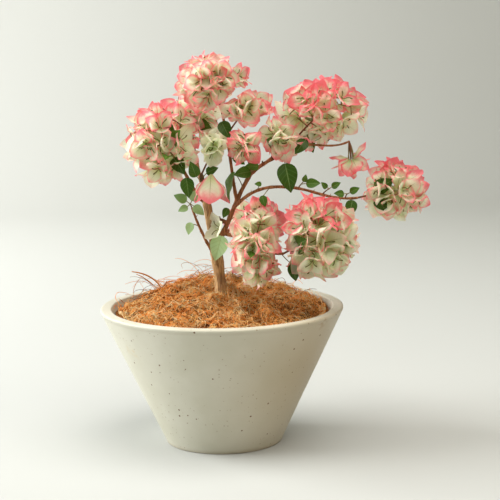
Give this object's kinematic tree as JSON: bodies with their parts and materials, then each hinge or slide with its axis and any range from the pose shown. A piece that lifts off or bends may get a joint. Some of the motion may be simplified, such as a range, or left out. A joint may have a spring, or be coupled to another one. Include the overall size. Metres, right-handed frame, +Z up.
{
  "type": "potted bougainvillea",
  "caption": "Small potted bougainvillea with a leaning trunk, open arching branches and clusters of papery pink and cream bracts, in a wide cone-shaped pot mulched with coconut fibre.",
  "frame": {"origin": "middle of the pot's flat underside", "axes": "+Z up through the pot's centre. -Y is the side the picture shows, and +X is its right. The trunk leans towards -X and the long arching branch reaches towards +X."},
  "size_m": [0.3979, 0.298, 0.4757],
  "materials": {
    "pot": "cream, matt to satin, with small brown pinholes",
    "soil": "dark potting soil, unseen under the mulch",
    "coir": "orange-brown coconut fibre, matt and hairy",
    "bark": "rough, tan on the trunk and red-brown on the twigs",
    "blossom": "papery bracts, cream with pink edges",
    "leaf": "dark green leaf, satin"
  },
  "bodies": {
    "root": {"pot": "pot", "soil": "soil", "coir_mulch": "coir", "trunk": "bark", "left_bough": "bark", "leader": "bark", "cross_stub": "bark", "right_bough": "bark", "upright_bough": "bark", "arching_branch_inner": "bark", "arching_branch_outer": "bark", "lower_bough": "bark", "hanging_shoot": "bark", "left_shoot": "bark", "back_left_bough": "bark", "back_right_bough": "bark", "back_lower_bough": "bark", "blossom_top": "blossom", "blossom_left": "blossom", "blossom_mid_upper": "blossom", "blossom_mid_front": "blossom", "blossom_mid_right": "blossom", "blossom_upper_right": "blossom", "blossom_hanging": "blossom", "blossom_far_right": "blossom", "blossom_lower_left": "blossom", "blossom_lower_right": "blossom", "blossom_centre": "blossom", "blossom_back_left": "blossom", "blossom_back_right": "blossom", "blossom_back_lower": "blossom", "bloom_drooping": "blossom", "bloom_pale": "blossom", "leaf_left_dark": "leaf", "leaf_trunk_tip_left": "leaf", "leaf_trunk_tip_right": "leaf", "leaf_on_trunk": "leaf", "leaf_left_shoot_low": "leaf", "leaves_left_shoot": "leaf", "leaf_tall": "leaf", "leaves_fork": "leaf", "leaf_fork_low": "leaf", "leaf_upright_bough": "leaf", "leaf_upright_low": "leaf", "leaf_big_hanging": "leaf", "leaf_right_bough": "leaf", "leaf_arch_rising": "leaf", "leaf_arch_under": "leaf", "leaves_arch_crest": "leaf", "leaves_arch_middle": "leaf", "leaves_arch_outer": "leaf", "leaf_arch_hanging": "leaf", "leaf_lower_bough": "leaf"}
  },
  "joints": []
}
